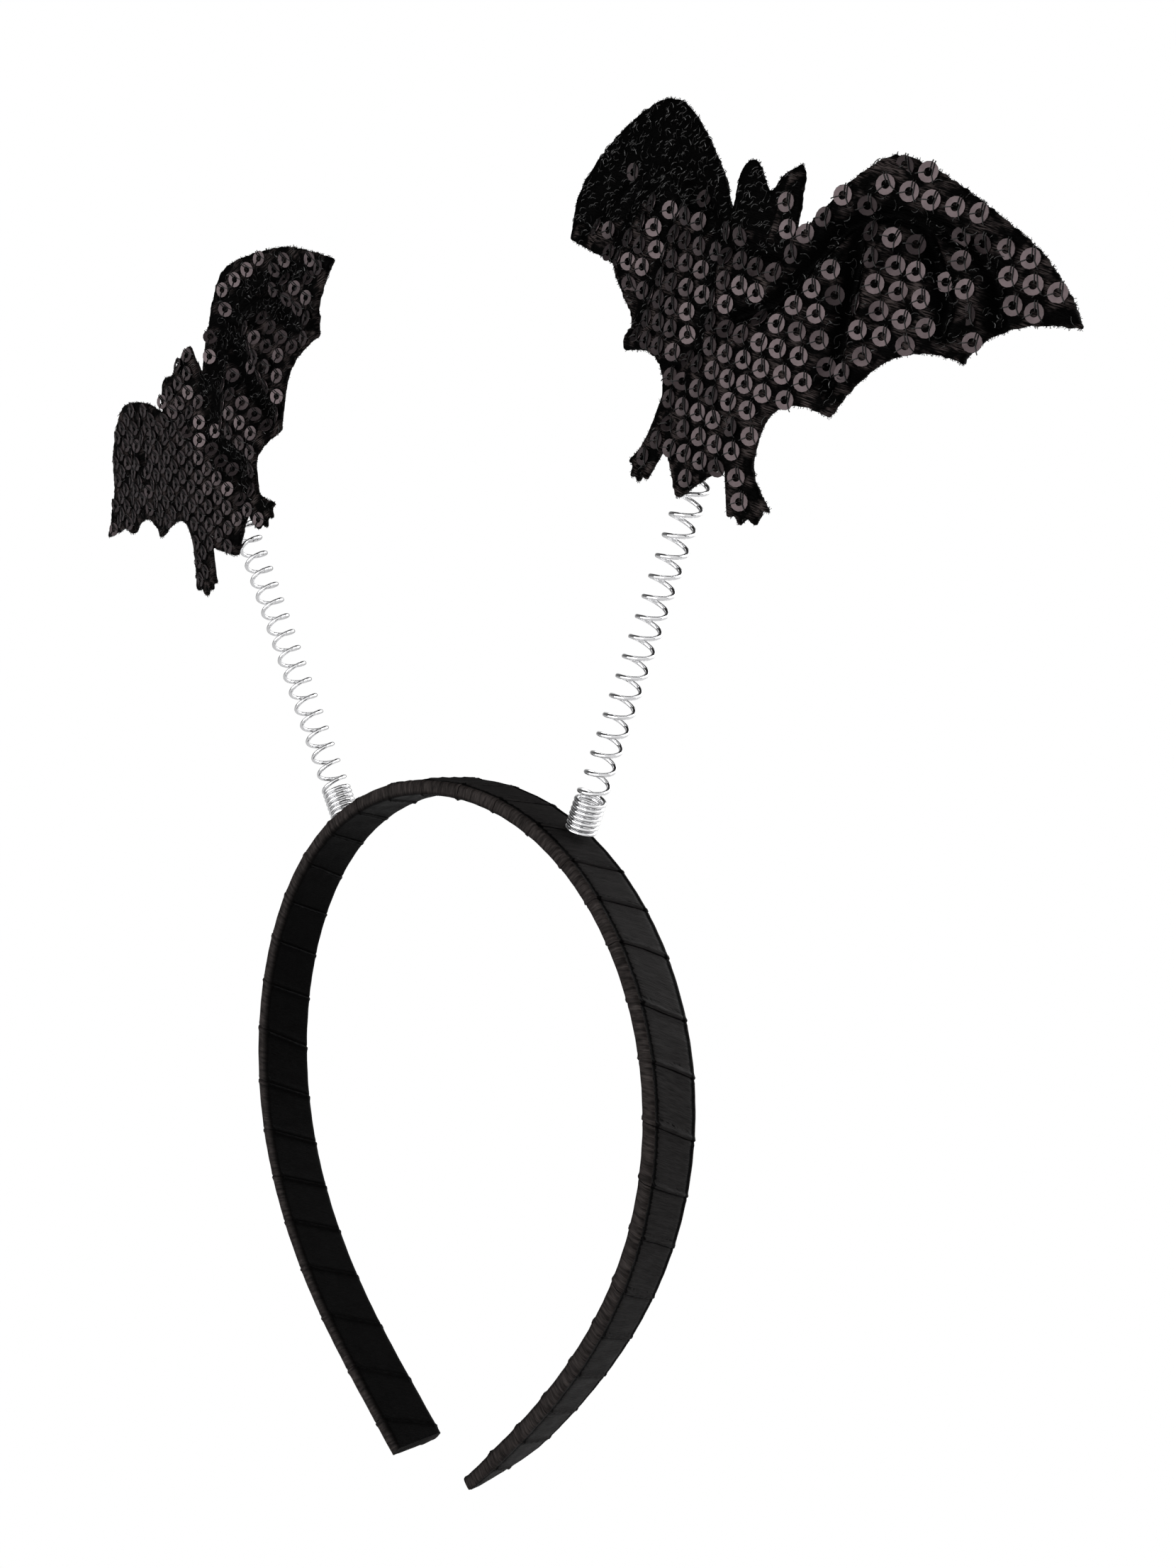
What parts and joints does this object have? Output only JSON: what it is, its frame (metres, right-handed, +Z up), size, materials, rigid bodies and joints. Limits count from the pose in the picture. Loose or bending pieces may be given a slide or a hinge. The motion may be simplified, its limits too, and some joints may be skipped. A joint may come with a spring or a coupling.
{
  "type": "bat headband",
  "caption": "Costume headband wound in black ribbon, with bats of black sequin cloth that stand on steel coil springs.",
  "frame": {"origin": "inside top of the arch, at mid width, where the band sits on the crown of the head", "axes": "+Z up, X left to right across the head, -Y to the front, where the bats face"},
  "size_m": [0.2713, 0.0272, 0.2751],
  "materials": {
    "ribbon": "black satin ribbon, soft sheen",
    "wire": "bright nickel plated spring wire",
    "sequin_cloth": "black stitched cloth set with ring sequins"
  },
  "bodies": {
    "root": {"band": "ribbon", "spring_left": "wire", "spring_right": "wire", "bat_left": "sequin_cloth", "bat_right": "sequin_cloth"}
  },
  "joints": []
}
